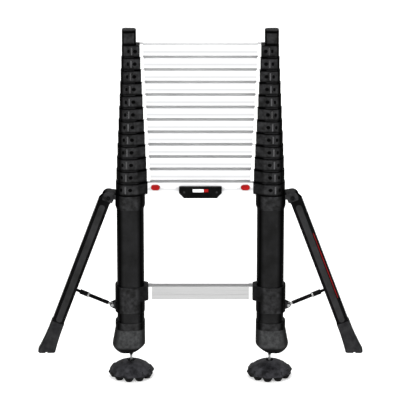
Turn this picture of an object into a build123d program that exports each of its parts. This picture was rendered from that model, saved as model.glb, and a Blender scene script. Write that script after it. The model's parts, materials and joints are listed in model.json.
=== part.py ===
from build123d import *
from math import cos, radians, sin
import os

# Telescoping ladder with two folding side legs, stored closed.
# Millimetres. X runs across the ladder, -Y is the front, +Z is up.
# The origin lies on the ground, midway between the two foot discs.
# Pieces that come in pairs are drawn on the right (+X) side and mirrored.

# Driving dimensions
SECTIONS = 12                # nested tube pairs, numbered from the base up
STILE_X = 191.0              # middle plane to the centre line of a stile
RUNG_SPACING = 300.0         # from tread to tread when the ladder is out
STACK_PITCH = 35.0           # from tread to tread when it is closed
TRAVEL = RUNG_SPACING - STACK_PITCH
TREAD_BASE = 264.0           # top of the bottom rung
TREAD_BUTTON = TREAD_BASE + RUNG_SPACING
SOLE = 73.0                  # underside of the boots

# Tubes: each one is the next smaller one grown by a wall and a gap
TOP_HALF_WIDTH = 17.75
TOP_DEPTH_OUTER = 33.0
TOP_DEPTH_INNER = 27.0
TOP_CORNER = 8.0
TUBE_WALL = 1.25
TUBE_GAP = 0.5
TUBE_STEP = TUBE_WALL + TUBE_GAP
TUBE_LENGTH = 328.0
BASE_TUBE_BOTTOM = 100.0

# Collars
COLLAR_WALL = 1.6
COLLAR_HEIGHT = 32.0
COLLAR_RISE = 1.0            # how far a collar stands above its tread
LIP = 3.0
LIP_CLEARANCE = 0.3
BLOCK_REACH = 11.0           # rung socket beyond the tube, towards the rung
BLOCK_DEPTH = 37.0
COLLAR_EDGE = 1.2
SLEEVE_WALL = 3.6            # long sleeves of the base section
UPPER_SLEEVE_BOTTOM = 490.0
SLEEVE_TAPER = 9.0
LOWER_COLLAR_TOP = 268.0
LOWER_BLOCK_BOTTOM = 226.0
LOWER_COLLAR_BOTTOM = 192.0
LOWER_SHIFT = 2.0            # lower collars and boots stand further out than in
CAP_HEIGHT = 41.0
CAP_ROOF = 3.5
CAP_WALL = 1.1

# Rungs
RUNG_DEPTH = 32.0
RUNG_HEIGHT = 27.0
TALL_RUNG_HEIGHT = 37.0
RUNG_WALL = 2.2
RUNG_CORNER = 3.5
RUNG_SOCKET = 7.0            # length of a rung end inside its collar
GROOVE_WIDTH = 1.6
GROOVE_DEPTH = 0.9
FLUTE_HEIGHT = 6.0
FLUTE_DEPTH = 0.6

# Lock pins
PIN_RADIUS = 4.0
PIN_FIT = 0.06
PIN_LENGTH = 44.0
PIN_DROP = 14.0              # pin axis below the tread

# Release buttons
BUTTON_X = 122.0
BUTTON_WIDTH = 24.0
BUTTON_HEIGHT = 15.0
BUTTON_PROUD = 5.0
BUTTON_CLEARANCE = 0.3
BUTTON_TRAVEL = 7.0
BUTTON_Z = TREAD_BUTTON - 12.5
STEM_WIDTH = 10.0
STEM_HEIGHT = 8.0
SLOT_MARGIN = 0.5
BOLT_RADIUS = 4.9
BOLT_START = 100.0

# Grip on the button rung
GRIP_TOP = TREAD_BUTTON - 9.0
GRIP_BOTTOM = TREAD_BUTTON - 41.0
GRIP_SHOULDER = 17.0
GRIP_TOP_HALF = 58.0
GRIP_BOTTOM_HALF = 45.0
GRIP_PROUD = 11.0
PANEL_WIDTH = 44.0
PANEL_HEIGHT = 10.0
PANEL_DROP = 10.0
PANEL_DEPTH = 1.0

# Side legs
HINGE_X = 250.0
HINGE_Z = 521.0
LEG_ANGLE = 20.4             # from the vertical, deployed
LEG_WIDTH = 33.0
LEG_DEPTH = 30.0
LEG_WALL = 2.5
LEG_OFFSET = 6.5             # leg's centre line outside the hinge bolt
LEG_LENGTH = 443.0           # this and the next four run down from the hinge bolt
LEG_START = 12.0
FOOT_START = 389.0
FOOT_WAIST = 436.0
FOOT_END = 496.0
LEG_SOLE = 70.0
FOOT_CLEFT = 6.0
FOOT_CLEFT_DEPTH = 4.0
HINGE_BOLT_RADIUS = 4.0
KNUCKLE_RADIUS = 15.0
KNUCKLE_CLEARANCE = 0.4

# Arched forks that carry the legs
ARCH_RADIUS = 17.5
ARCH_DEPTH = 38.0
ARCH_SKIRT = 10.0            # how far the fork reaches below the hinge bolt, along the leg
ARCH_ROOT_X = 227.0
ARCH_ROOT_Z = 524.0
ARCH_ROOT_HEIGHT = 20.0
ARCH_UNDERSIDE = 517.0       # under the arch, between the collar and the leg

# Stays between the lower collars and the legs
STAY_X = 242.0
STAY_Z = 208.0
STAY_REACH = 284.7           # hinge bolt to the stay's roller, along the leg
STAY_INSET = 8.0             # roller's place towards the mouth of the channel
STAY_TIP = 4.0               # radius of the rod inside the leg and the fork
STAY_ROD = 5.2
STAY_PIN = 3.0
STAY_EYE = 6.0
EYE_WIDTH = 8.0
NECK_END = 12.0
RING_START = 70.0
STAY_SLEEVE = 6.8
STAY_SLEEVE_START = 74.0
STAY_SLEEVE_END = 96.0
CLEVIS_GAP = 8.4
CLEVIS_EAR = 4.0
CLEVIS_ROOT_X = 231.0
CLEVIS_ROOT_HEIGHT = 22.0
ROLLER_RADIUS = 3.5
ROLLER_LENGTH = 23.0
PIVOT_FIT = 0.06

# Boots, studs and ground discs
BOOT_TOP = 143.0
SOCKET_TOP = 164.0
BOOT_FLARE = 8.0
BOOT_ROUND = 24.0
BOOT_TUCK = 9.0
BOOT_SHIFT = 6.0
STUD_RADIUS = 6.5
STUD_DEPTH = 18.0
NECK_RADIUS = 3.5
NUT_HEIGHT = 5.0
NUT_RADIUS = 9.0
MOUTH_RADIUS = 8.0
BALL_Z = 30.0
BALL_RADIUS = 10.0
BALL_FIT = 0.1
DISC_TOP = 45.0
DISC_RIM = 60.0
RIM_TOP = 18.0
RIM_BOTTOM = 13.0
CLAWS = 10
CLAW_CIRCLE = 47.0
CLAW_RADIUS = 17.0
CLAW_TAPER = 8.0
CLAW_HEIGHT = 14.0
FIRST_CLAW = 83.0            # clocking of the claws, in degrees


def half_width(section):
    return TOP_HALF_WIDTH + TUBE_STEP * (SECTIONS - section)


def tread(section):
    return TREAD_BUTTON + STACK_PITCH * (section - 1)


def growth(section):
    return TUBE_STEP * (SECTIONS - section)


def stile_profile(grow, level, shift=0.0):
    """Outline of a stile, deeper on its outer side than towards the rungs."""
    with BuildSketch(Plane.XY.offset(level)) as outline:
        with Locations((STILE_X + shift, 0)):
            Polygon(
                (TOP_HALF_WIDTH, TOP_DEPTH_OUTER / 2),
                (TOP_HALF_WIDTH, -TOP_DEPTH_OUTER / 2),
                (-TOP_HALF_WIDTH, -TOP_DEPTH_INNER / 2),
                (-TOP_HALF_WIDTH, TOP_DEPTH_INNER / 2),
                align=None,
            )
        fillet(outline.vertices(), TOP_CORNER)
        if grow:
            offset(amount=grow)
    return outline.sketch


def collar_profile(section, level, wall=COLLAR_WALL, shift=0.0):
    """A stile outline drawn in to the narrower rung block."""
    block_end = STILE_X - half_width(section) - BLOCK_REACH
    tube_outline = stile_profile(growth(section) + wall, level, shift)
    with BuildSketch(Plane.XY.offset(level)) as block:
        with Locations((block_end + BLOCK_REACH / 2, 0)):
            RectangleRounded(BLOCK_REACH, BLOCK_DEPTH, 3)
    with BuildSketch(Plane.XY.offset(level)) as outline:
        make_hull([*tube_outline.edges(), *block.sketch.edges()])
    return outline.sketch


def rung_section(height, level):
    """Hollow rung: grooved tread on top, a shallow flute front and back."""
    middle = level - height / 2
    with BuildSketch(Plane.YZ) as outline:
        with Locations((0, middle)):
            RectangleRounded(RUNG_DEPTH, height, RUNG_CORNER)
            RectangleRounded(RUNG_DEPTH - 2 * RUNG_WALL, height - 2 * RUNG_WALL, 1.5, mode=Mode.SUBTRACT)
        with Locations((0, level)):
            with GridLocations(2.6 * GROOVE_WIDTH, 1, 6, 1):
                Rectangle(GROOVE_WIDTH, 2 * GROOVE_DEPTH, mode=Mode.SUBTRACT)
        with Locations((RUNG_DEPTH / 2, middle), (-RUNG_DEPTH / 2, middle)):
            Rectangle(2 * FLUTE_DEPTH, FLUTE_HEIGHT, mode=Mode.SUBTRACT)
    return outline.sketch


def rung_half_length(section):
    return STILE_X - half_width(section) - BLOCK_REACH + RUNG_SOCKET


def save(part, name):
    part.label = name
    export_step(part, f"parts/{name}.step")


def make_tubes(section):
    """The pair of tubes of one sliding section, with their lock-pin holes."""
    top = tread(section) - LIP + COLLAR_RISE
    length = TUBE_LENGTH
    if section == SECTIONS:
        length = TUBE_LENGTH + CAP_HEIGHT + LIP - COLLAR_RISE - CAP_ROOF
    bottom = tread(section) - LIP + COLLAR_RISE - TUBE_LENGTH
    hole_levels = [tread(section - 1) - PIN_DROP - TRAVEL]
    if section < SECTIONS:
        hole_levels.append(tread(section) - PIN_DROP)
    wall_x = STILE_X - half_width(section)
    with BuildPart() as tubes:
        extrude(stile_profile(growth(section), bottom), amount=length)
        extrude(stile_profile(growth(section) - TUBE_WALL, bottom), amount=length, mode=Mode.SUBTRACT)
        with Locations([Location((wall_x, 0, level), (0, 90, 0)) for level in hole_levels]):
            Cylinder(BOLT_RADIUS + PIN_FIT, 4 * TUBE_WALL, mode=Mode.SUBTRACT)
        mirror(about=Plane.YZ)
    return tubes.part


def make_collars(section):
    """Moulded collars that clamp a tube's top, guide the next tube and hold the rung."""
    top = tread(section) + COLLAR_RISE
    bottom = top - COLLAR_HEIGHT
    tube_end = top - LIP
    block_end = STILE_X - half_width(section) - BLOCK_REACH
    with BuildPart() as collars:
        extrude(collar_profile(section, bottom), amount=COLLAR_HEIGHT)
        chamfer(collars.faces().filter_by(Axis.Z).edges(), COLLAR_EDGE)
        extrude(stile_profile(growth(section), bottom), amount=tube_end - bottom, mode=Mode.SUBTRACT)
        if section < SECTIONS:
            lip_bore = growth(section + 1) + LIP_CLEARANCE
        else:
            lip_bore = growth(section)
        extrude(stile_profile(lip_bore, tube_end), amount=LIP, mode=Mode.SUBTRACT)
        with BuildSketch(Plane.YZ.offset(block_end)) as rung_pocket:
            with Locations((0, tread(section) - RUNG_HEIGHT / 2)):
                RectangleRounded(RUNG_DEPTH, RUNG_HEIGHT, RUNG_CORNER)
        extrude(amount=RUNG_SOCKET, mode=Mode.SUBTRACT)
        if section < SECTIONS:
            with Locations(Location((block_end + BLOCK_REACH, 0, tread(section) - PIN_DROP), (0, 90, 0))):
                Cylinder(PIN_RADIUS + PIN_FIT, 2 * BLOCK_REACH, mode=Mode.SUBTRACT)
        mirror(about=Plane.YZ)
    return collars.part


def make_rung(section):
    """One rung and, below the top section, the two lock pins that slide in it."""
    half_length = rung_half_length(section)
    pin_tip = STILE_X - half_width(section) + TUBE_WALL - LIP_CLEARANCE
    with BuildPart() as rung:
        extrude(rung_section(RUNG_HEIGHT, tread(section)), amount=half_length, both=True)
    if section == SECTIONS:
        return rung.part
    with BuildPart() as pins:
        with Locations(Location((pin_tip - PIN_LENGTH / 2, 0, tread(section) - PIN_DROP), (0, 90, 0))):
            Cylinder(PIN_RADIUS, PIN_LENGTH)
        chamfer(pins.faces().sort_by(Axis.X)[-1].edges(), 0.8)
        mirror(about=Plane.YZ)
    return Compound(children=[rung.part, *pins.part.solids()])


def make_top_caps():
    """Plastic caps pressed over the two top tubes."""
    bottom = tread(SECTIONS) + COLLAR_RISE
    with BuildPart() as caps:
        extrude(stile_profile(CAP_WALL, bottom), amount=CAP_HEIGHT)
        fillet(caps.faces().sort_by(Axis.Z)[-1].edges(), 3.0)
        extrude(stile_profile(0, bottom), amount=CAP_HEIGHT - CAP_ROOF, mode=Mode.SUBTRACT)
        mirror(about=Plane.YZ)
    return caps.part


def make_base_tubes():
    top = TREAD_BUTTON + COLLAR_RISE - LIP
    length = top - BASE_TUBE_BOTTOM
    with BuildPart() as tubes:
        extrude(stile_profile(growth(1), BASE_TUBE_BOTTOM), amount=length)
        extrude(stile_profile(growth(1) - TUBE_WALL, BASE_TUBE_BOTTOM), amount=length, mode=Mode.SUBTRACT)
        with Locations(Location((STILE_X - half_width(1), 0, TREAD_BUTTON - PIN_DROP), (0, 90, 0))):
            Cylinder(BOLT_RADIUS + PIN_FIT, 4 * TUBE_WALL, mode=Mode.SUBTRACT)
        mirror(about=Plane.YZ)
    return tubes.part


def make_upper_collars():
    """Collars at the top of the base tubes, with a long sleeve below."""
    top = TREAD_BUTTON + COLLAR_RISE
    bottom = top - COLLAR_HEIGHT
    block_end = STILE_X - half_width(1) - BLOCK_REACH
    sleeve_outline = stile_profile(growth(1) + SLEEVE_WALL, UPPER_SLEEVE_BOTTOM)
    bore = stile_profile(growth(1), UPPER_SLEEVE_BOTTOM)
    with BuildPart() as collars:
        extrude(collar_profile(1, bottom), amount=COLLAR_HEIGHT)
        chamfer(collars.faces().filter_by(Axis.Z).edges(), COLLAR_EDGE)
        with BuildPart(mode=Mode.PRIVATE) as sleeve:
            extrude(sleeve_outline, amount=bottom - UPPER_SLEEVE_BOTTOM)
            chamfer(sleeve.faces().sort_by(Axis.Z)[0].edges(), SLEEVE_TAPER, SLEEVE_WALL - 0.6)
        add(sleeve.part)
        extrude(bore, amount=top - LIP - UPPER_SLEEVE_BOTTOM, mode=Mode.SUBTRACT)
        extrude(stile_profile(growth(2) + LIP_CLEARANCE, top - LIP), amount=LIP, mode=Mode.SUBTRACT)
        with BuildSketch(Plane.YZ.offset(block_end)) as rung_pocket:
            with Locations((0, TREAD_BUTTON - TALL_RUNG_HEIGHT / 2)):
                RectangleRounded(RUNG_DEPTH, TALL_RUNG_HEIGHT, RUNG_CORNER)
        extrude(amount=RUNG_SOCKET, mode=Mode.SUBTRACT)
        with Locations(Location((block_end + BLOCK_REACH, 0, TREAD_BUTTON - PIN_DROP), (0, 90, 0))):
            Cylinder(BOLT_RADIUS + PIN_FIT, 2 * BLOCK_REACH, mode=Mode.SUBTRACT)
        mirror(about=Plane.YZ)
    return collars.part


def make_lower_collars():
    """Collars round the base tubes that hold the bottom rung."""
    block_end = STILE_X - half_width(1) - BLOCK_REACH
    with BuildPart() as collars:
        ring = stile_profile(growth(1) + SLEEVE_WALL, LOWER_COLLAR_BOTTOM, LOWER_SHIFT)
        extrude(ring, amount=LOWER_COLLAR_TOP - LOWER_COLLAR_BOTTOM)
        block = collar_profile(1, LOWER_BLOCK_BOTTOM, SLEEVE_WALL, LOWER_SHIFT)
        extrude(block, amount=LOWER_COLLAR_TOP - LOWER_BLOCK_BOTTOM)
        ends = collars.faces().filter_by(Axis.Z).sort_by(Axis.Z)
        chamfer([*ends[0].edges(), *ends[-1].edges()], COLLAR_EDGE)
        bore = stile_profile(growth(1), LOWER_COLLAR_BOTTOM)
        extrude(bore, amount=LOWER_COLLAR_TOP - LOWER_COLLAR_BOTTOM, mode=Mode.SUBTRACT)
        with BuildSketch(Plane.YZ.offset(block_end)):
            with Locations((0, TREAD_BASE - TALL_RUNG_HEIGHT / 2)):
                RectangleRounded(RUNG_DEPTH, TALL_RUNG_HEIGHT, RUNG_CORNER)
        extrude(amount=RUNG_SOCKET, mode=Mode.SUBTRACT)
        mirror(about=Plane.YZ)
    return collars.part


def make_bottom_rung():
    with BuildPart() as rung:
        extrude(rung_section(TALL_RUNG_HEIGHT, TREAD_BASE), amount=rung_half_length(1), both=True)
    return rung.part


def make_button_rung():
    """The base section's upper rung, slotted in front for the two buttons."""
    slot_length = STEM_WIDTH + BUTTON_TRAVEL + 2 * SLOT_MARGIN
    slot_x = BUTTON_X - BUTTON_TRAVEL / 2
    with BuildPart() as rung:
        extrude(rung_section(TALL_RUNG_HEIGHT, TREAD_BUTTON), amount=rung_half_length(1), both=True)
        with Locations((slot_x, -RUNG_DEPTH / 2, BUTTON_Z), (-slot_x, -RUNG_DEPTH / 2, BUTTON_Z)):
            Box(slot_length, 4 * RUNG_WALL, STEM_HEIGHT + 2 * SLOT_MARGIN, mode=Mode.SUBTRACT)
    return rung.part


def make_grip_handle():
    """Carrying grip across the front of the button rung, with a blank inset panel."""
    front = RUNG_DEPTH / 2
    with BuildPart() as grip:
        with BuildSketch(Plane.XZ.offset(front)):
            with BuildLine():
                Polyline(
                    (GRIP_TOP_HALF, GRIP_TOP),
                    (GRIP_TOP_HALF, GRIP_TOP - GRIP_SHOULDER),
                    (GRIP_BOTTOM_HALF, GRIP_BOTTOM),
                    (-GRIP_BOTTOM_HALF, GRIP_BOTTOM),
                    (-GRIP_TOP_HALF, GRIP_TOP - GRIP_SHOULDER),
                    (-GRIP_TOP_HALF, GRIP_TOP),
                    close=True,
                )
            make_face()
        extrude(amount=GRIP_PROUD)
        fillet(grip.edges().filter_by(Axis.Y), 3.0)
        fillet(grip.faces().sort_by(Axis.Y)[0].edges(), 2.5)
        with BuildSketch(Plane.XZ.offset(front + GRIP_PROUD)):
            with Locations((0, GRIP_TOP - PANEL_DROP)):
                RectangleRounded(PANEL_WIDTH, PANEL_HEIGHT, 2.0)
        extrude(amount=-PANEL_DEPTH, mode=Mode.SUBTRACT)
    return grip.part


def make_release_button():
    """Right-hand thumb button with the stem that reaches its lock bolt."""
    face = RUNG_DEPTH / 2 + BUTTON_CLEARANCE
    with BuildPart() as button:
        with BuildSketch(Plane.XZ.offset(face)):
            with Locations((BUTTON_X, BUTTON_Z)):
                SlotOverall(BUTTON_WIDTH, BUTTON_HEIGHT)
        extrude(amount=BUTTON_PROUD)
        fillet(button.faces().sort_by(Axis.Y)[0].edges(), 1.8)
        with BuildSketch(Plane.XZ.offset(face)):
            with Locations((BUTTON_X, BUTTON_Z)):
                Rectangle(STEM_WIDTH, STEM_HEIGHT)
        extrude(amount=BOLT_RADIUS - 1 - face)
    return button.part


def make_lock_bolt():
    """Right-hand bolt that locks the second section when the ladder is out."""
    tip = STILE_X - half_width(1) + TUBE_WALL - LIP_CLEARANCE
    with BuildPart() as bolt:
        with Locations(Location(((tip + BOLT_START) / 2, 0, TREAD_BUTTON - PIN_DROP), (0, 90, 0))):
            Cylinder(BOLT_RADIUS, tip - BOLT_START)
        chamfer(bolt.faces().sort_by(Axis.X)[-1].edges(), 0.8)
    return bolt.part


def make_boot_sockets():
    """Rings that clamp the rubber boots to the base tubes."""
    height = SOCKET_TOP - BOOT_TOP
    with BuildPart() as sockets:
        extrude(stile_profile(growth(1) + SLEEVE_WALL, BOOT_TOP, LOWER_SHIFT), amount=height)
        chamfer(sockets.faces().sort_by(Axis.Z)[-1].edges(), 2.0)
        extrude(stile_profile(growth(1), BOOT_TOP), amount=height, mode=Mode.SUBTRACT)
        mirror(about=Plane.YZ)
    return sockets.part


def make_boots():
    """Rubber boots: flared downwards, cut away under the inner side."""
    base = growth(1)
    with BuildPart() as boots:
        loft([
            *stile_profile(base + SLEEVE_WALL, BOOT_TOP, LOWER_SHIFT).faces(),
            *stile_profile(base + BOOT_FLARE, SOLE + BOOT_ROUND, BOOT_SHIFT).faces(),
        ])
        loft([
            *stile_profile(base + BOOT_FLARE, SOLE + BOOT_ROUND, BOOT_SHIFT).faces(),
            *stile_profile(base + 0.6 * BOOT_FLARE, SOLE + 0.6 * BOOT_ROUND, BOOT_SHIFT).faces(),
            *stile_profile(base - 0.2 * BOOT_TUCK, SOLE + 0.25 * BOOT_ROUND, BOOT_SHIFT).faces(),
            *stile_profile(base - BOOT_TUCK, SOLE, BOOT_SHIFT).faces(),
        ])
        with BuildSketch(Plane.XZ):
            with Locations((STILE_X, SOLE)):
                Polygon((-2, 0), (-60, 0), (-60, 40), align=None)
        extrude(amount=DISC_RIM, both=True, mode=Mode.SUBTRACT)
        extrude(stile_profile(base, BASE_TUBE_BOTTOM), amount=BOOT_TOP - BASE_TUBE_BOTTOM, mode=Mode.SUBTRACT)
        with Locations((STILE_X, 0, SOLE + STUD_DEPTH / 2)):
            Cylinder(STUD_RADIUS, STUD_DEPTH, mode=Mode.SUBTRACT)
        mirror(about=Plane.YZ)
    return boots.part


def make_leg_brackets():
    """Arched forks on the upper collars; each roofs over the top of its leg."""
    room = KNUCKLE_RADIUS + KNUCKLE_CLEARANCE
    with BuildSketch(Plane.XZ) as outline:
        with Locations((HINGE_X, HINGE_Z)):
            Circle(ARCH_RADIUS)
        with Locations((ARCH_ROOT_X, ARCH_ROOT_Z)):
            Rectangle(8, ARCH_ROOT_HEIGHT)
        make_hull()
    inner_end, outer_end = [leg_plane(ARCH_SKIRT).from_local_coords((across, 0, 0)) for across in (-50, 50)]
    with BuildSketch(Plane.XZ) as relief:
        Polygon(
            (inner_end.X, inner_end.Z),
            (outer_end.X, outer_end.Z),
            (outer_end.X, outer_end.Z - 60),
            (inner_end.X, inner_end.Z - 60),
            align=None,
        )
        Polygon(
            (ARCH_ROOT_X - 20, ARCH_UNDERSIDE),
            (HINGE_X - KNUCKLE_RADIUS, ARCH_UNDERSIDE),
            (HINGE_X, HINGE_Z - 40),
            (ARCH_ROOT_X - 20, HINGE_Z - 40),
            align=None,
        )
    with BuildSketch(Plane.XZ) as pocket:
        with Locations((HINGE_X, HINGE_Z)):
            Circle(room)
            Polygon((0, 0), (60, -60), (60, 104), align=None)
        with Locations((HINGE_X + 30 - room, HINGE_Z - 30)):
            Rectangle(60, 60)
    with BuildPart() as forks:
        extrude(outline.sketch, amount=ARCH_DEPTH / 2, both=True)
        fillet(forks.faces().sort_by(Axis.Y)[0].edges(), 2.5)
        fillet(forks.faces().sort_by(Axis.Y)[-1].edges(), 2.5)
        extrude(relief.sketch, amount=ARCH_DEPTH, both=True, mode=Mode.SUBTRACT)
        extrude(pocket.sketch, amount=LEG_DEPTH / 2 + KNUCKLE_CLEARANCE, both=True, mode=Mode.SUBTRACT)
        block_bottom = TREAD_BUTTON + COLLAR_RISE - COLLAR_HEIGHT
        sleeve = stile_profile(growth(1) + SLEEVE_WALL, UPPER_SLEEVE_BOTTOM)
        extrude(sleeve, amount=block_bottom - UPPER_SLEEVE_BOTTOM, mode=Mode.SUBTRACT)
        shell = stile_profile(growth(1) + COLLAR_WALL, block_bottom)
        extrude(shell, amount=COLLAR_HEIGHT, mode=Mode.SUBTRACT)
        with Locations(Location((HINGE_X, 0, HINGE_Z), (90, 0, 0))):
            Cylinder(HINGE_BOLT_RADIUS, 2 * ARCH_DEPTH, mode=Mode.SUBTRACT)
        mirror(about=Plane.YZ)
    return forks.part


def make_stay_clevises():
    """Forks on the lower collars that hold the stays' eyes."""
    width = CLEVIS_GAP + 2 * CLEVIS_EAR
    with BuildSketch(Plane.XZ) as outline:
        with Locations((STAY_X, STAY_Z)):
            Circle(STAY_EYE + 0.5)
        with Locations((CLEVIS_ROOT_X, STAY_Z)):
            Rectangle(6, CLEVIS_ROOT_HEIGHT)
        make_hull()
    with BuildPart() as forks:
        extrude(outline.sketch, amount=width / 2, both=True)
        with Locations((STAY_X - STAY_EYE - 0.4 + 20, 0, STAY_Z)):
            Box(40, CLEVIS_GAP, 2 * CLEVIS_ROOT_HEIGHT, mode=Mode.SUBTRACT)
        ring = stile_profile(growth(1) + SLEEVE_WALL, LOWER_COLLAR_BOTTOM, LOWER_SHIFT)
        extrude(ring, amount=LOWER_COLLAR_TOP - LOWER_COLLAR_BOTTOM, mode=Mode.SUBTRACT)
        with Locations(Location((STAY_X, 0, STAY_Z), (90, 0, 0))):
            Cylinder(STAY_PIN, 2 * width, mode=Mode.SUBTRACT)
        mirror(about=Plane.YZ)
    return forks.part


def cross_bolt(x, z, radius, grip, head):
    """A bolt along Y with a head at each end."""
    with BuildPart() as bolt:
        with Locations(Location((x, 0, z), (90, 0, 0))):
            Cylinder(radius, grip + 2 * head)
        with Locations(
            Location((x, (grip + head) / 2, z), (90, 0, 0)),
            Location((x, -(grip + head) / 2, z), (90, 0, 0)),
        ):
            Cylinder(1.5 * radius, head)
        fillet(bolt.faces().filter_by(Axis.Y).group_by(Axis.Y)[0].edges(), head / 3)
        fillet(bolt.faces().filter_by(Axis.Y).group_by(Axis.Y)[-1].edges(), head / 3)
    return bolt.part


def make_hinge_bolts():
    """Bolts of the leg hinges and of the stay eyes."""
    with BuildPart() as bolts:
        add(cross_bolt(HINGE_X, HINGE_Z, HINGE_BOLT_RADIUS, ARCH_DEPTH, 2.5))
        add(cross_bolt(STAY_X, STAY_Z, STAY_PIN, CLEVIS_GAP + 2 * CLEVIS_EAR, 2.0))
        mirror(about=Plane.YZ)
    return bolts.part


def leg_plane(distance):
    """Plane across the right leg, this far down from its hinge bolt."""
    slope = radians(LEG_ANGLE)
    across = (cos(slope), 0, sin(slope))
    upwards = (-sin(slope), 0, cos(slope))
    return Plane(origin=(HINGE_X, 0, HINGE_Z), x_dir=across, z_dir=upwards).offset(-distance)


def make_leg():
    """Right leg: a channel that is open towards the stile, with a round knuckle."""
    inside_depth = LEG_DEPTH - 2 * LEG_WALL
    corner_plane = leg_plane(LEG_START + 3)
    with BuildSketch(Plane.XZ) as knuckle:
        with Locations((HINGE_X, HINGE_Z)):
            Circle(KNUCKLE_RADIUS)
        for side in (-1, 1):
            corner = corner_plane.from_local_coords((LEG_OFFSET + side * (LEG_WIDTH / 2 - 3), 0, 0))
            with Locations((corner.X, corner.Z)):
                Circle(3)
        make_hull()
    with BuildPart() as leg:
        extrude(knuckle.sketch, amount=LEG_DEPTH / 2, both=True)
        extrude(knuckle.sketch, amount=inside_depth / 2, both=True, mode=Mode.SUBTRACT)
        with BuildSketch(leg_plane(LEG_START)):
            with Locations((LEG_OFFSET, 0)):
                RectangleRounded(LEG_WIDTH, LEG_DEPTH, 3.0)
            with Locations((LEG_OFFSET - LEG_WALL, 0)):
                Rectangle(LEG_WIDTH, inside_depth, mode=Mode.SUBTRACT)
        extrude(amount=LEG_START - LEG_LENGTH)
        with Locations(Location((HINGE_X, 0, HINGE_Z), (90, 0, 0))):
            Cylinder(HINGE_BOLT_RADIUS + PIVOT_FIT, 2 * LEG_DEPTH, mode=Mode.SUBTRACT)
    return leg.part


def make_leg_foot():
    """Rubber foot of the right leg, flared to a level, cleft sole."""
    slope = radians(LEG_ANGLE)
    sole_x = HINGE_X + LEG_OFFSET / cos(slope) + (HINGE_Z - LEG_SOLE) * sin(slope) / cos(slope)
    with BuildPart() as foot:
        with BuildSketch(leg_plane(FOOT_START)):
            with Locations((LEG_OFFSET, 0)):
                RectangleRounded(LEG_WIDTH + 3, LEG_DEPTH + 3, 4.0)
        with BuildSketch(leg_plane(FOOT_WAIST)):
            with Locations((LEG_OFFSET, 0)):
                RectangleRounded(LEG_WIDTH + 5, LEG_DEPTH + 4, 5.0)
        with BuildSketch(leg_plane(FOOT_END)):
            with Locations((LEG_OFFSET, 0)):
                RectangleRounded(LEG_WIDTH + 18, LEG_DEPTH + 12, 8.0)
        loft()
        split(bisect_by=Plane.XY.offset(LEG_SOLE), keep=Keep.TOP)
        fillet(foot.faces().sort_by(Axis.Z)[0].edges(), 5.0)
        with BuildSketch(leg_plane(FOOT_START)):
            with Locations((LEG_OFFSET, 0)):
                RectangleRounded(LEG_WIDTH, LEG_DEPTH, 3.0)
        extrude(amount=-(LEG_LENGTH - FOOT_START), mode=Mode.SUBTRACT)
        with Locations((sole_x, 0, LEG_SOLE)):
            Box(FOOT_CLEFT, 3 * LEG_DEPTH, 2 * FOOT_CLEFT_DEPTH, mode=Mode.SUBTRACT)
    return foot.part


def stay_plane(distance):
    """Plane across the right stay, this far from its eye."""
    roller = leg_plane(STAY_REACH).from_local_coords((LEG_OFFSET - STAY_INSET, 0, 0))
    along = Vector(roller.X - STAY_X, 0, roller.Z - STAY_Z)
    plane = Plane(origin=(STAY_X, 0, STAY_Z), x_dir=(0, 1, 0), z_dir=along)
    return plane.offset(distance), along.length


def make_stay_rod():
    """Right stay: rod, thicker grip sleeve and the roller that runs in the leg."""
    eye_plane, length = stay_plane(0)
    with BuildPart() as rod:
        with BuildSketch(stay_plane(NECK_END)[0]):
            Circle(STAY_ROD)
        extrude(amount=STAY_SLEEVE_END - NECK_END)
        with BuildSketch(stay_plane(STAY_SLEEVE_END)[0]):
            Circle(STAY_TIP)
        extrude(amount=length - STAY_SLEEVE_END)
        with BuildSketch(stay_plane(STAY_SLEEVE_START)[0]):
            Circle(STAY_SLEEVE)
        extrude(amount=STAY_SLEEVE_END - STAY_SLEEVE_START)
        with BuildSketch(Plane.XZ):
            tip = eye_plane.from_local_coords((0, 0, length))
            with Locations((tip.X, tip.Z)):
                Circle(ROLLER_RADIUS)
        extrude(amount=ROLLER_LENGTH / 2, both=True)
    return rod.part


def make_stay_fittings():
    """Steel eye at the lower end of the right stay, and the ring below its sleeve."""
    with BuildPart() as fittings:
        with BuildSketch(Plane.XZ):
            with Locations((STAY_X, STAY_Z)):
                Circle(STAY_EYE)
        extrude(amount=EYE_WIDTH / 2, both=True)
        with BuildSketch(stay_plane(0)[0]):
            Circle(STAY_TIP)
        extrude(amount=NECK_END)
        with Locations(Location((STAY_X, 0, STAY_Z), (90, 0, 0))):
            Cylinder(STAY_PIN + PIVOT_FIT, 2 * EYE_WIDTH, mode=Mode.SUBTRACT)
        with BuildSketch(stay_plane(RING_START)[0]):
            Circle(STAY_SLEEVE + 0.6)
            Circle(STAY_ROD, mode=Mode.SUBTRACT)
        extrude(amount=STAY_SLEEVE_START - RING_START)
    return fittings.part


def make_foot_studs():
    """Ball-ended studs under the boots, with their lock nuts."""
    with BuildPart() as studs:
        with Locations((STILE_X, 0, BALL_Z)):
            Sphere(BALL_RADIUS)
        with BuildSketch(Plane.XZ):
            with BuildLine():
                Polyline(
                    (STILE_X, BALL_Z),
                    (STILE_X + NECK_RADIUS, BALL_Z),
                    (STILE_X + NECK_RADIUS, SOLE - NUT_HEIGHT - 8),
                    (STILE_X + STUD_RADIUS, SOLE - NUT_HEIGHT),
                    (STILE_X + STUD_RADIUS, SOLE + STUD_DEPTH),
                    (STILE_X, SOLE + STUD_DEPTH),
                    close=True,
                )
            make_face()
        revolve(axis=Axis((STILE_X, 0, 0), (0, 0, 1)))
        with BuildSketch(Plane.XY.offset(SOLE - NUT_HEIGHT)):
            with Locations((STILE_X, 0)):
                RegularPolygon(NUT_RADIUS, 6)
        extrude(amount=NUT_HEIGHT)
        mirror(about=Plane.YZ)
    return studs.part


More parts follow.
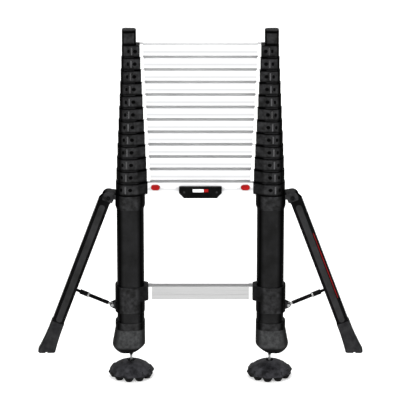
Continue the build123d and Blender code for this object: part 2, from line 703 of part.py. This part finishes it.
def make_foot_disc(middle):
    """Ground disc: a rubber dome with claws, socketed on the stud's ball."""
    upright = (Align.CENTER, Align.CENTER, Align.MIN)
    hub_bottom = BALL_Z - BALL_RADIUS - 4
    inner_rim = DISC_RIM - 6
    narrow = CLAW_RADIUS - CLAW_TAPER
    with BuildPart() as disc:
        with BuildSketch(Plane.XZ):
            with BuildLine():
                ThreePointArc((middle + 12, DISC_TOP), (middle + 41, 34.5), (middle + DISC_RIM, RIM_TOP))
                Polyline(
                    (middle + DISC_RIM, RIM_TOP),
                    (middle + DISC_RIM, RIM_BOTTOM),
                    (middle + inner_rim, RIM_BOTTOM),
                )
                ThreePointArc((middle + inner_rim, RIM_BOTTOM), (middle + 37, 27.5), (middle + 15, 35))
                Polyline(
                    (middle + 15, 35),
                    (middle + 15, hub_bottom),
                    (middle, hub_bottom),
                    (middle, DISC_TOP),
                    (middle + 12, DISC_TOP),
                )
            make_face()
        revolve(axis=Axis((middle, 0, 0), (0, 0, 1)))
        with Locations((middle, 0, 0)):
            with PolarLocations(CLAW_CIRCLE, CLAWS, start_angle=FIRST_CLAW):
                Cone(narrow, CLAW_RADIUS, CLAW_HEIGHT, align=upright)
        with Locations((middle, 0, CLAW_HEIGHT)):
            with PolarLocations(CLAW_CIRCLE, CLAWS, start_angle=FIRST_CLAW):
                Cone(CLAW_RADIUS, narrow, CLAW_HEIGHT - 2, align=upright)
        with Locations((middle, 0, BALL_Z)):
            Sphere(BALL_RADIUS + BALL_FIT, mode=Mode.SUBTRACT)
        with Locations((middle, 0, BALL_Z + 6)):
            mouth_height = DISC_TOP - BALL_Z - 5
            Cone(MOUTH_RADIUS, MOUTH_RADIUS + 2.5, mouth_height, align=upright, mode=Mode.SUBTRACT)
    return disc.part


def save_both_sides(part, name):
    """Write a right-hand piece and its left-hand mirror image."""
    save(part, f"{name}_right")
    save(mirror(part, about=Plane.YZ), f"{name}_left")


os.makedirs("parts", exist_ok=True)

for number in range(2, SECTIONS + 1):
    save(make_tubes(number), f"section_{number:02d}_tubes")
    save(make_collars(number), f"section_{number:02d}_collars")
    save(make_rung(number), f"rung_{number:02d}")
save(make_top_caps(), "top_caps")

save(make_base_tubes(), "base_tubes")
save(make_upper_collars(), "upper_collars")
save(make_lower_collars(), "lower_collars")
save(make_button_rung(), "button_rung")
save(make_bottom_rung(), "bottom_rung")
save(make_grip_handle(), "grip_handle")
save(make_boot_sockets(), "boot_sockets")
save(make_boots(), "boots")
save(make_leg_brackets(), "leg_brackets")
save(make_stay_clevises(), "stay_clevises")
save(make_hinge_bolts(), "hinge_bolts")
save(make_foot_studs(), "foot_studs")

save_both_sides(make_release_button(), "release_button")
save_both_sides(make_lock_bolt(), "lock_bolt")
save_both_sides(make_leg(), "leg")
save_both_sides(make_leg_foot(), "leg_foot")
save_both_sides(make_stay_rod(), "stay_rod")
save_both_sides(make_stay_fittings(), "stay_fittings")
save(make_foot_disc(STILE_X), "foot_disc_right")
save(make_foot_disc(-STILE_X), "foot_disc_left")
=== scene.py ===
import json
from math import cos, pi, radians, sin

import bmesh
import bpy
from mathutils import Matrix, Vector
from mathutils.bvhtree import BVHTree


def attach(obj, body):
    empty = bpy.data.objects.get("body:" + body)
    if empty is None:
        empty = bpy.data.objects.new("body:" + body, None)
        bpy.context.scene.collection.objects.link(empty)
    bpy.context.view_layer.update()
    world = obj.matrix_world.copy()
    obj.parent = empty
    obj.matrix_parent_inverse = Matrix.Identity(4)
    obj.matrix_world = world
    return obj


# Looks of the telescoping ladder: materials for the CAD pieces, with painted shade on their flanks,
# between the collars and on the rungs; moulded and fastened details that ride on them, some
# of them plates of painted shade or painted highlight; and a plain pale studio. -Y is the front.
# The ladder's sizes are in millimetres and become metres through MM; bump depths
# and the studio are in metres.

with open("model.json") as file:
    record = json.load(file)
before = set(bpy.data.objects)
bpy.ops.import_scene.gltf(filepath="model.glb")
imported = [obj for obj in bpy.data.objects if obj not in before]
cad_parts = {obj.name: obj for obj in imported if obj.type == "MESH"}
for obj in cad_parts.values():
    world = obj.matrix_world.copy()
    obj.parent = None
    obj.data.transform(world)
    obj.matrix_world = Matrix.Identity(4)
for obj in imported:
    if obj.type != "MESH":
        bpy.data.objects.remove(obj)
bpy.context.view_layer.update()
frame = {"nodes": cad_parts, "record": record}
NODES = frame["nodes"]
MM = 0.001
SIDES = (("right", 1), ("left", -1))

# Sizes of the ladder itself
SECTIONS = 12
STILE_X = 191.0              # middle plane to the centre line of a stile
TOP_HALF_WIDTH = 17.75       # of a tube in the top section
WIDTH_STEP = 1.75            # each section below the top is wider by this on each side
STACK_PITCH = 35.0           # from tread to tread in the closed stack
BUTTON_TREAD = 564.0         # top of the button rung
COLLAR_WALL = 1.6
BLOCK_REACH = 11.0           # collar beyond its tube, towards the rung
RUNG_FACE = 16.0             # a rung's front and back faces, from the middle
HINGE = Vector((250.0, 0, 521.0))
LEG_SLOPE = radians(20.4)
LEG_FACE = 15.0              # a leg's front and back faces, from the middle

# Where a finish, or the painted shade on it, changes over one material
COLLAR_SHADE_START = 530.0    # the painted shade bands at the gaps between collars repeat from here up
COLLAR_SHADE_ABOVE = 531.0
COLLAR_SHADE_WITHIN = 233.5  # collars only, not the forks beside them
SHADED_RUNG_BELOW = 300.0      # the bottom rung is painted greyer than the others, as shade
# treads take painted shade behind this line; their front strip stays lit
TREAD_SHADE_BEHIND = -12.5
FACE_BAND_MIDDLE = 0.62      # of the stack pitch, on the faces of the stacked rungs
BLACKENED_ABOVE = 400.0      # the leg bolts, against the zinc of the lower bolts and studs


# ---------------------------------------------------------------- materials

class Shader:
    """A Principled material with small helpers for its procedural nodes."""

    def __init__(self, name, colour, roughness, metallic=0.0, specular=0.5):
        self.material = bpy.data.materials.new(name)
        self.material.use_nodes = True
        self.tree = self.material.node_tree
        self.shader = self.tree.nodes["Principled BSDF"]
        self.shader.inputs["Base Color"].default_value = (*colour, 1.0)
        self.shader.inputs["Roughness"].default_value = roughness
        self.shader.inputs["Metallic"].default_value = metallic
        self.shader.inputs["Specular IOR Level"].default_value = specular
        coordinates = self.tree.nodes.new("ShaderNodeTexCoord").outputs
        self.place = coordinates["Object"]
        self.facing = coordinates["Normal"]
        self.normal = None

    def node(self, kind, **values):
        made = self.tree.nodes.new(kind)
        for key, value in values.items():
            setattr(made, key, value)
        return made

    def link(self, source, target):
        self.tree.links.new(source, target)

    def scaled(self, scale):
        """Object coordinates stretched by scale, for grain that runs one way."""
        mapping = self.node("ShaderNodeMapping")
        mapping.inputs["Scale"].default_value = scale
        self.link(self.place, mapping.inputs["Vector"])
        return mapping.outputs["Vector"]

    def noise(self, scale, detail=4.0, rough=0.55):
        """Noise from 0 to 1; scale is one number, or three for stretched grain."""
        made = self.node("ShaderNodeTexNoise")
        made.inputs["Scale"].default_value = 1.0
        made.inputs["Detail"].default_value = detail
        made.inputs["Roughness"].default_value = rough
        axes = scale if isinstance(scale, tuple) else (scale, scale, scale)
        self.link(self.scaled(axes), made.inputs["Vector"])
        return made.outputs["Fac"]

    def spread(self, value, low, high, start=0.3, end=0.7):
        """Maps start..end of a value to low..high."""
        made = self.node("ShaderNodeMapRange")
        made.inputs["From Min"].default_value = start
        made.inputs["From Max"].default_value = end
        made.inputs["To Min"].default_value = low
        made.inputs["To Max"].default_value = high
        self.link(value, made.inputs["Value"])
        return made.outputs["Result"]

    def blend(self, value, dark, light, start=0.35, end=0.65):
        """A colour between two others, by a value."""
        made = self.node("ShaderNodeValToRGB")
        made.color_ramp.elements[0].position = start
        made.color_ramp.elements[0].color = (*dark, 1.0)
        made.color_ramp.elements[1].position = end
        made.color_ramp.elements[1].color = (*light, 1.0)
        self.link(value, made.inputs["Fac"])
        return made.outputs["Color"]

    def axis(self, vector, name):
        """One component of a vector."""
        split = self.node("ShaderNodeSeparateXYZ")
        self.link(vector, split.inputs["Vector"])
        return split.outputs[name]

    def math(self, operation, value, other=0.0):
        """Arithmetic on a socket, with a plain number as the second value if one is needed."""
        made = self.node("ShaderNodeMath", operation=operation)
        made.inputs[1].default_value = other
        self.link(value, made.inputs[0])
        return made.outputs["Value"]

    def times(self, one, other):
        """The product of two sockets."""
        made = self.node("ShaderNodeMath", operation="MULTIPLY")
        self.link(one, made.inputs[0])
        self.link(other, made.inputs[1])
        return made.outputs["Value"]

    def flank_shade_mask(self, start=0.28, end=0.66):
        """Mask for painted shade: 0 on faces that look forwards or back, 1 on the flanks."""
        sideways = self.math("ABSOLUTE", self.axis(self.facing, "X"))
        return self.spread(sideways, 0.0, 1.0, start, end)

    def mix(self, value, first, second):
        """From one colour to another; each is a socket or a plain colour."""
        made = self.node("ShaderNodeMix", data_type="RGBA")
        self.link(value, made.inputs["Factor"])
        for side, name in ((first, "A"), (second, "B")):
            socket = [i for i in made.inputs if i.name == name and i.type == "RGBA"][0]
            if isinstance(side, tuple):
                socket.default_value = (*side, 1.0)
            else:
                self.link(side, socket)
        return [o for o in made.outputs if o.type == "RGBA"][0]

    def colour(self, output):
        self.link(output, self.shader.inputs["Base Color"])

    def rough(self, value, low, high):
        self.link(self.spread(value, low, high), self.shader.inputs["Roughness"])

    def bump(self, value, strength, depth):
        made = self.node("ShaderNodeBump")
        made.inputs["Strength"].default_value = strength
        made.inputs["Distance"].default_value = depth
        self.link(value, made.inputs["Height"])
        if self.normal:
            self.link(self.normal, made.inputs["Normal"])
        self.normal = made.outputs["Normal"]
        self.link(self.normal, self.shader.inputs["Normal"])


def collar_gap_shade(made, shaded):
    """Near-black bands of painted shade at the lower and upper edge of each collar in the stack, where
    the gaps between collars fall in shadow.
    """
    # the near-black of the painted shade in the gaps
    black = (0.0015, 0.0015, 0.0015)
    height = made.math("SUBTRACT", made.axis(made.place, "Z"), COLLAR_SHADE_START * MM)
    cycle = made.math("FRACT", made.math("DIVIDE", height, STACK_PITCH * MM))
    low_gap_shade = made.spread(cycle, 1.0, 0.0, start=0.10, end=0.26)
    top_gap_shade = made.spread(cycle, 0.0, 1.0, start=0.90, end=0.98)
    above = made.math("GREATER_THAN", made.axis(made.place, "Z"), COLLAR_SHADE_ABOVE * MM)
    sideways = made.math("ABSOLUTE", made.axis(made.place, "X"))
    inside = made.math("LESS_THAN", sideways, COLLAR_SHADE_WITHIN * MM)
    stacked = made.times(above, inside)
    shaded = made.mix(made.times(low_gap_shade, stacked), shaded, black)
    return made.mix(made.times(top_gap_shade, stacked), shaded, black)


def satin_black(name, level, roughness, grain, detail=2.0, painted_gap_shade=False, patch=24, contrast=1.25):
    """Dark metal or moulding, with painted shade darkening its flanks against its faces."""
    made = Shader(name, (level, level, level), roughness, metallic=0.85, specular=0.25)
    made.shader.inputs["Specular Tint"].default_value = (0.05, 0.05, 0.05, 1.0)
    clouds = made.noise(patch)
    low = 0.9 * level / contrast
    high = contrast * level
    # near-black painted shade for the flanks
    edge = 0.08 * level
    face = made.blend(clouds, (low, low, low), (high, high, 1.04 * high))
    shaded = made.mix(made.flank_shade_mask(), face, (edge, edge, edge))
    if painted_gap_shade:
        shaded = collar_gap_shade(made, shaded)
    made.colour(shaded)
    made.rough(clouds, roughness - 0.06, roughness + 0.08)
    made.bump(made.noise(grain, detail), 0.16, 0.0003)
    return made.material


def anodised_tube():
    return satin_black("black_anodised_tube", 0.014, 0.34, (260, 260, 7), detail=6.0)


def moulded_plastic():
    return satin_black("moulded_black_plastic", 0.020, 0.40, 1500, painted_gap_shade=True, patch=75, contrast=1.6)


def powder_coat():
    return satin_black("black_powder_coat", 0.004, 0.36, 420)


# A grey lighter than the legs' black: painted highlight for the leg bands and the grip screws.
def painted_highlight_grey():
    return satin_black("painted_highlight_grey", 0.026, 0.42, (40, 40, 4), detail=5.0)


# Near-black for the oval plates on the collars: painted shade where recesses would be.
def painted_shade_black():
    return satin_black("painted_shade_black", 0.002, 0.60, 900)


# A brighter copy of the satin black: painted highlight along the pressed rib of each collar.
def rib_highlight():
    return satin_black("collar_rib_painted_highlight", 0.075, 0.30, 700)


def brushed_rung():
    """Bright faces with a soft grey band, treads darkened by painted shade behind their front strip,
    and a bottom rung made greyer by painted shade.
    """
    made = Shader("anodised_rung_aluminium", (0.80, 0.81, 0.82), 0.42, metallic=0.25, specular=0.3)
    brush = made.noise((5, 900, 900), detail=8.0, rough=0.7)
    bright = made.blend(brush, (0.76, 0.765, 0.77), (0.85, 0.855, 0.86))
    # painted shade on the bottom rung, on its faces and below on its tread
    low_rung_shade = made.blend(brush, (0.36, 0.36, 0.36), (0.46, 0.46, 0.46))
    # painted shade on the treads, in the gaps between the stacked rungs
    tread_shade = made.blend(brush, (0.21, 0.21, 0.215), (0.28, 0.28, 0.285))
    low_tread_shade = made.blend(brush, (0.07, 0.07, 0.072), (0.11, 0.11, 0.112))
    height = made.math("FRACT", made.math("DIVIDE", made.axis(made.place, "Z"), STACK_PITCH * MM))
    distance = made.math("ABSOLUTE", made.math("SUBTRACT", height, FACE_BAND_MIDDLE))
    band = made.spread(distance, 1.0, 0.0, start=0.02, end=0.26)
    face = made.mix(band, bright, (0.53, 0.534, 0.54))
    # mask for the painted shade of the bottom rung
    low = made.math("LESS_THAN", made.axis(made.place, "Z"), SHADED_RUNG_BELOW * MM)
    upward = made.spread(made.axis(made.facing, "Z"), 0.0, 1.0, start=0.80, end=0.95)
    # only the part of a tread behind its front strip takes the painted shade
    behind = made.math("GREATER_THAN", made.axis(made.place, "Y"), TREAD_SHADE_BEHIND * MM)
    faces = made.mix(low, face, low_rung_shade)
    shaded_treads = made.mix(low, tread_shade, low_tread_shade)
    made.colour(made.mix(made.times(upward, behind), faces, shaded_treads))
    made.rough(made.noise(14, detail=3.0), 0.36, 0.48)
    made.bump(brush, 0.10, 0.0003)
    made.shader.inputs["Anisotropic"].default_value = 0.3
    return made.material


def rung_end_plastic():
    made = Shader("white_rung_end_plastic", (0.88, 0.88, 0.88), 0.45, specular=0.4)
    clouds = made.noise(60, detail=4.0)
    made.colour(made.blend(clouds, (0.86, 0.86, 0.86), (0.92, 0.92, 0.92)))
    made.rough(clouds, 0.40, 0.52)
    made.bump(made.noise(1200, detail=2.0), 0.12, 0.0002)
    return made.material


def glossy_grip():
    made = Shader("glossy_black_grip", (0.002, 0.002, 0.002), 0.25, specular=0.02)
    clouds = made.noise(40, detail=4.0)
    made.colour(made.blend(clouds, (0.001, 0.001, 0.001), (0.004, 0.004, 0.004)))
    made.rough(clouds, 0.18, 0.32)
    made.bump(made.noise(600, detail=2.0), 0.08, 0.0003)
    return made.material


def red_button():
    made = Shader("red_button_plastic", (0.34, 0.001, 0.001), 0.35, specular=0.12)
    clouds = made.noise(90, detail=4.0)
    made.colour(made.blend(clouds, (0.20, 0.0003, 0.0003), (0.33, 0.0008, 0.0008)))
    made.rough(clouds, 0.28, 0.42)
    made.bump(made.noise(700, detail=2.0), 0.08, 0.0003)
    return made.material


def zinc_steel():
    """Zinc plating on the stay bolts and studs; the leg bolts higher up are blackened."""
    made = Shader("zinc_plated_steel", (0.60, 0.61, 0.62), 0.28, metallic=1.0)
    clouds = made.noise(120, detail=5.0)
    bright = made.blend(clouds, (0.16, 0.165, 0.17), (0.34, 0.34, 0.335))
    dark = made.blend(clouds, (0.004, 0.004, 0.004), (0.009, 0.009, 0.009))
    high = made.math("GREATER_THAN", made.axis(made.place, "Z"), BLACKENED_ABOVE * MM)
    made.colour(made.mix(high, bright, dark))
    made.rough(clouds, 0.22, 0.40)
    made.bump(made.noise((900, 900, 60), detail=4.0), 0.10, 0.0003)
    return made.material


def rubber(name, low, high, size, bump):
    made = Shader(name, low, 0.78, specular=0.10)
    patches = made.noise(size, detail=7.0, rough=0.62)
    # painted shade darkens the flanks to near black
    face = made.mix(made.flank_shade_mask(0.50, 0.85), made.blend(patches, low, high), (0.001, 0.001, 0.001))
    # painted shade also darkens the faces that look down
    underside_shade = made.spread(made.axis(made.facing, "Z"), 1.0, 0.0, start=-0.45, end=-0.15)
    made.colour(made.mix(underside_shade, face, (0.001, 0.001, 0.001)))
    made.rough(patches, 0.62, 0.86)
    made.bump(made.noise(900, detail=4.0), bump, 0.0006)
    return made.material


def label_film():
    made = Shader("pale_label_film", (0.78, 0.78, 0.78), 0.40, specular=0.4)
    clouds = made.noise(50, detail=4.0)
    made.colour(made.blend(clouds, (0.72, 0.72, 0.73), (0.84, 0.84, 0.84)))
    made.rough(clouds, 0.34, 0.48)
    made.bump(made.noise(500, detail=2.0), 0.05, 0.0002)
    return made.material


FINISHES = {
    "tube_black": anodised_tube(),
    "collar_plastic": moulded_plastic(),
    "rung_aluminium": brushed_rung(),
    "grip_plastic": glossy_grip(),
    "button_red": red_button(),
    "bolt_steel": zinc_steel(),
    "leg_black": powder_coat(),
    "boot_rubber": rubber("grey_boot_rubber", (0.020, 0.0205, 0.021), (0.048, 0.049, 0.050), 90, 0.3),
    "foot_rubber": rubber("black_foot_rubber", (0.006, 0.006, 0.007), (0.022, 0.022, 0.023), 45, 0.3),
    "disc_rubber": rubber("mottled_disc_rubber", (0.003, 0.003, 0.004), (0.040, 0.040, 0.045), 42, 0.4),
}
LABEL_FINISH = label_film()
RIB_HIGHLIGHT_FINISH = rib_highlight()
SHADE_OVAL_FINISH = painted_shade_black()
HIGHLIGHT_GREY_FINISH = painted_highlight_grey()
RUNG_END_FINISH = rung_end_plastic()


def dress_cad_nodes():
    """Every CAD node gets the material of its record slot."""
    for entry in frame["record"]["subparts"]:
        mesh = NODES[entry["node"]].data
        mesh.materials.clear()
        mesh.materials.append(FINISHES[entry["material_slot"]])


# ------------------------------------------------------------ riding details

# Plates: width, height, thickness and corner radius
COLLAR_RIB = (4.4, 21.0, 0.9, 2.0)
RUNG_END = (9.0, 33.6, 0.9, 1.2)
BOTTOM_RUNG_END = (9.0, 37.4, 0.9, 1.2)
GRIP_STRIP = (30.0, 8.6, 0.8, 1.2)
GRIP_TAB = (11.6, 8.6, 0.8, 1.2)
GRIP_SCREW = (6.4, 6.4, 0.5, 3.1)
RUNG_LABEL = (32.0, 12.0, 0.25, 1.5)
LEG_BAND = (17.0, 362.0, 0.6, 8.0)
RED_LINE = (1.3, 200.0, 0.4, 0.6)

COLLAR_FACE_DROP = 15.0      # middle of a collar's face, below its tread
RIB_INSET = 26.5             # rib's middle, in from the collar's outer edge
OVAL_WIDE = 11.0             # dark oval of painted shade towards the rung
OVAL_NARROW = 6.5            # dark oval of painted shade on the outer side
OVAL_HEIGHT = 10.0
OVAL_DEPTH = 0.35
OVAL_SPREAD = 9.5            # rib to dark oval in the top section
OVAL_SPREAD_STEP = 0.35
RUNG_END_INSET = 4.6
RUNG_END_DROP = 13.4
BOTTOM_RUNG_END_X = 137.5
BOTTOM_RUNG_MIDDLE = 245.5

STRIP_X = -6.0
TAB_X = 15.6
GRIP_FACE = 26.0             # the grip's inset panel, from the middle
GRIP_FRONT = 27.0
GRIP_MIDDLE = 545.0
SCREW_X = 44.0
SCREW_Z = 541.0
LABEL_X = 83.0
LABEL_Z = 553.5
# Outwards and down from the leg's hinge
LEG_BAND_PLACE = (6.5, 206.0)
RED_LINE_PLACE = (18.4, 215.0)


def add_plate(shell, frame_matrix, size, steps=5):
    """Adds a rounded plate to a bmesh: its back lies on the matrix's XY plane."""
    width, height, thickness, radius = (measure * MM for measure in size)
    outline = []
    for corner, (sx, sy) in enumerate(((1, 1), (-1, 1), (-1, -1), (1, -1))):
        for step in range(steps + 1):
            angle = pi / 2 * (corner + step / steps)
            outline.append((sx * (width / 2 - radius) + radius * cos(angle),
                            sy * (height / 2 - radius) + radius * sin(angle)))
    rings = []
    edge = min(0.35 * thickness, 0.45 * radius)
    for inset, level in ((0.0, -0.2 * thickness), (0.0, thickness - edge), (edge, thickness)):
        ring = []
        shrink_x = 1 - 2 * inset / width
        shrink_y = 1 - 2 * inset / height
        for x, y in outline:
            ring.append(shell.verts.new(frame_matrix @ Vector((x * shrink_x, y * shrink_y, level))))
        rings.append(ring)
    count = len(outline)
    for lower, upper in zip(rings, rings[1:]):
        for i in range(count):
            j = (i + 1) % count
            shell.faces.new((lower[i], lower[j], upper[j], upper[i]))
    shell.faces.new(rings[-1])
    shell.faces.new(list(reversed(rings[0])))


def finish_piece(name, shell, material, body):
    """Turns a bmesh into a piece that rides on a body."""
    mesh = bpy.data.meshes.new(name)
    bmesh.ops.recalc_face_normals(shell, faces=shell.faces)
    shell.to_mesh(mesh)
    shell.free()
    mesh.materials.append(material)
    piece = bpy.data.objects.new(name, mesh)
    bpy.context.scene.collection.objects.link(piece)
    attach(piece, body)


def face_matrix(place, normal):
    """A frame on a surface: Z along the normal, Y as near to up as it can be."""
    out = Vector(normal).normalized()
    across = Vector((0, 0, 1)).cross(out).normalized()
    up = out.cross(across)
    turn = Matrix((across, up, out)).transposed().to_4x4()
    return Matrix.Translation(place) @ turn


def flat_frame(x, facing, depth, z):
    """A frame on a front (-1) or back (1) face that lies depth from the middle."""
    return face_matrix(Vector((x * MM, facing * depth * MM, z * MM)), (0, facing, 0))


def surface_of(node):
    mesh = NODES[node].data
    corners = [v.co.copy() for v in mesh.vertices]
    return BVHTree.FromPolygons(corners, [tuple(p.vertices) for p in mesh.polygons])


def frame_on(tree, x, facing, z):
    """A frame where a ray from the front (-1) or back (1) meets a surface."""
    start = Vector((x * MM, facing * 0.5, z * MM))
    place, normal, _, _ = tree.ray_cast(start, Vector((0, -facing, 0)))
    if normal.y * facing < 0:
        normal = -normal
    return face_matrix(place, normal)


def half_width(section):
    return TOP_HALF_WIDTH + WIDTH_STEP * (SECTIONS - section)


def tread_height(section):
    return BUTTON_TREAD + STACK_PITCH * (section - 1)


def dress_collar(section):
    """A pressed rib in a brighter black, as painted highlight, and two dark oval plates of painted
    shade, standing for recesses, on each face of a pair of collars.
    """
    node = "upper_collars" if section == 1 else f"section_{section:02d}_collars"
    body = "root" if section == 1 else f"section_{section:02d}"
    surface = surface_of(node)
    middle = tread_height(section) - COLLAR_FACE_DROP
    rib_x = STILE_X + half_width(section) + COLLAR_WALL - RIB_INSET
    spread = OVAL_SPREAD + OVAL_SPREAD_STEP * (SECTIONS - section)
    ribs = bmesh.new()
    ovals = bmesh.new()
    for _, sx in SIDES:
        for facing in (-1, 1):
            add_plate(ribs, frame_on(surface, sx * rib_x, facing, middle), COLLAR_RIB)
            for offset, width in ((-spread, OVAL_WIDE), (0.85 * spread, OVAL_NARROW)):
                spot = frame_on(surface, sx * (rib_x + offset), facing, middle)
                add_plate(ovals, spot, (width, OVAL_HEIGHT, OVAL_DEPTH, 0.49 * width))
    finish_piece(f"collar_ribs_{section:02d}", ribs, RIB_HIGHLIGHT_FINISH, body)
    finish_piece(f"collar_shade_ovals_{section:02d}", ovals, SHADE_OVAL_FINISH, body)


def dress_rung_ends(section):
    """White plastic blocks on the two ends of a stacked rung."""
    end_x = STILE_X - half_width(section) - BLOCK_REACH - RUNG_END_INSET
    middle = tread_height(section) - RUNG_END_DROP
    body = f"section_{section:02d}"
    shell = bmesh.new()
    for _, sx in SIDES:
        for facing in (-1, 1):
            spot = flat_frame(sx * end_x, facing, RUNG_FACE, middle)
            add_plate(shell, spot, RUNG_END)
    finish_piece(f"rung_ends_{section:02d}", shell, RUNG_END_FINISH, body)


def dress_bottom_rung():
    shell = bmesh.new()
    for _, sx in SIDES:
        for facing in (-1, 1):
            spot = flat_frame(sx * BOTTOM_RUNG_END_X, facing, RUNG_FACE, BOTTOM_RUNG_MIDDLE)
            add_plate(shell, spot, BOTTOM_RUNG_END)
    finish_piece("bottom_rung_ends", shell, RUNG_END_FINISH, "root")


def dress_grip():
    """Strip, tab and screws of the grip, the screws grey as painted highlight, and the blank labels
    beside it.
    """
    strip = bmesh.new()
    add_plate(strip, flat_frame(STRIP_X, -1, GRIP_FACE, GRIP_MIDDLE), GRIP_STRIP)
    finish_piece("grip_pale_strip", strip, LABEL_FINISH, "root")
    tab = bmesh.new()
    add_plate(tab, flat_frame(TAB_X, -1, GRIP_FACE, GRIP_MIDDLE), GRIP_TAB)
    finish_piece("grip_red_tab", tab, FINISHES["button_red"], "root")
    screws = bmesh.new()
    for _, sx in SIDES:
        add_plate(screws, flat_frame(sx * SCREW_X, -1, GRIP_FRONT, SCREW_Z), GRIP_SCREW, 8)
    finish_piece("grip_screws", screws, HIGHLIGHT_GREY_FINISH, "root")
    labels = bmesh.new()
    for _, sx in SIDES:
        add_plate(labels, flat_frame(sx * LABEL_X, -1, RUNG_FACE, LABEL_Z), RUNG_LABEL)
    finish_piece("rung_blank_labels", labels, LABEL_FINISH, "root")


def leg_frame(sx, facing, place):
    """A frame on a leg's front or back face, from a place outwards and down from the hinge."""
    across, along = place
    down = Vector((sin(LEG_SLOPE), 0, -cos(LEG_SLOPE)))
    out = Vector((cos(LEG_SLOPE), 0, sin(LEG_SLOPE)))
    spot = (HINGE + out * across + down * along) * MM
    spot = Vector((sx * spot.x, facing * LEG_FACE * MM, spot.z))
    up = Vector((-sx * down.x, 0, -down.z))
    normal = Vector((0, facing, 0))
    turn = Matrix((up.cross(normal), up, normal)).transposed().to_4x4()
    return Matrix.Translation(spot) @ turn


def dress_leg(side, sx):
    """A band of painted highlight down the front and back of a leg, and a thin red line on the right
    one.
    """
    band = bmesh.new()
    for facing in (-1, 1):
        add_plate(band, leg_frame(sx, facing, LEG_BAND_PLACE), LEG_BAND)
    finish_piece(f"leg_band_{side}", band, HIGHLIGHT_GREY_FINISH, f"{side}_leg")
    if side == "right":
        line = bmesh.new()
        add_plate(line, leg_frame(sx, -1, RED_LINE_PLACE), RED_LINE)
        finish_piece("leg_red_line", line, FINISHES["button_red"], "right_leg")


# ------------------------------------------------------------------- studio

# The studio is in metres
FLOOR_SIZE = 40
FLOOR_GAP = 0.0005           # under the ladder, so that no faces lie on each other
FLOOR_GLOW = 0.32
WORLD_STRENGTH = 0.55


def studio_material(name, colour, glow):
    made = Shader(name, colour, 0.9, specular=0.0)
    made.shader.inputs["Emission Color"].default_value = (1, 1, 1, 1)
    made.shader.inputs["Emission Strength"].default_value = glow
    made.colour(made.blend(made.noise(2.0), colour, colour))
    return made.material


def make_floor():
    bpy.ops.mesh.primitive_plane_add(size=FLOOR_SIZE, location=(0, 0, -FLOOR_GAP))
    floor = bpy.context.object
    floor.name = "studio_floor"
    floor.data.materials.append(studio_material("pale_floor", (0.80, 0.80, 0.80), FLOOR_GLOW))


def softbox(name, place, target, size, power):
    light = bpy.data.lights.new(name, "AREA")
    light.shape = "RECTANGLE"
    light.size, light.size_y = size
    light.energy = power
    lamp = bpy.data.objects.new(name, light)
    bpy.context.scene.collection.objects.link(lamp)
    lamp.location = place
    aim = Vector(target) - Vector(place)
    lamp.rotation_euler = aim.to_track_quat("-Z", "Y").to_euler()


def light_studio():
    world = bpy.data.worlds.new("studio")
    bpy.context.scene.world = world
    world.use_nodes = True
    world.node_tree.nodes["Background"].inputs["Color"].default_value = (1.0, 1.0, 1.0, 1.0)
    world.node_tree.nodes["Background"].inputs["Strength"].default_value = WORLD_STRENGTH
    middle = (0, 0, 0.5)
    softbox("key", (-2.4, -3.4, 3.2), middle, (2.2, 2.2), 150)
    softbox("fill", (3.0, -3.0, 2.0), middle, (2.4, 2.4), 80)
    softbox("top", (0, 0.4, 4.2), middle, (3.0, 2.0), 90)
    softbox("back", (0.5, 3.4, 2.6), middle, (3.0, 1.6), 60)


CAMERA_DISTANCE = 8.5
CAMERA_PITCH = radians(18.4)
CAMERA_TARGET = Vector((-0.0011, 0, 0.510))
CAMERA_LENS = 281.4


def make_camera():
    camera = bpy.data.cameras.new("camera")
    camera.lens = CAMERA_LENS
    camera.sensor_width = 36
    camera.clip_end = 100
    eye = bpy.data.objects.new("camera", camera)
    bpy.context.scene.collection.objects.link(eye)
    away = Vector((0, -cos(CAMERA_PITCH), sin(CAMERA_PITCH)))
    eye.location = CAMERA_TARGET + away * CAMERA_DISTANCE
    eye.rotation_euler = (-away).to_track_quat("-Z", "Y").to_euler()
    bpy.context.scene.camera = eye


dress_cad_nodes()
for section in range(1, SECTIONS + 1):
    dress_collar(section)
    if section > 1:
        dress_rung_ends(section)
dress_bottom_rung()
dress_grip()
for side, sx in SIDES:
    dress_leg(side, sx)
make_floor()
light_studio()
make_camera()
bpy.context.scene.view_settings.view_transform = "Standard"
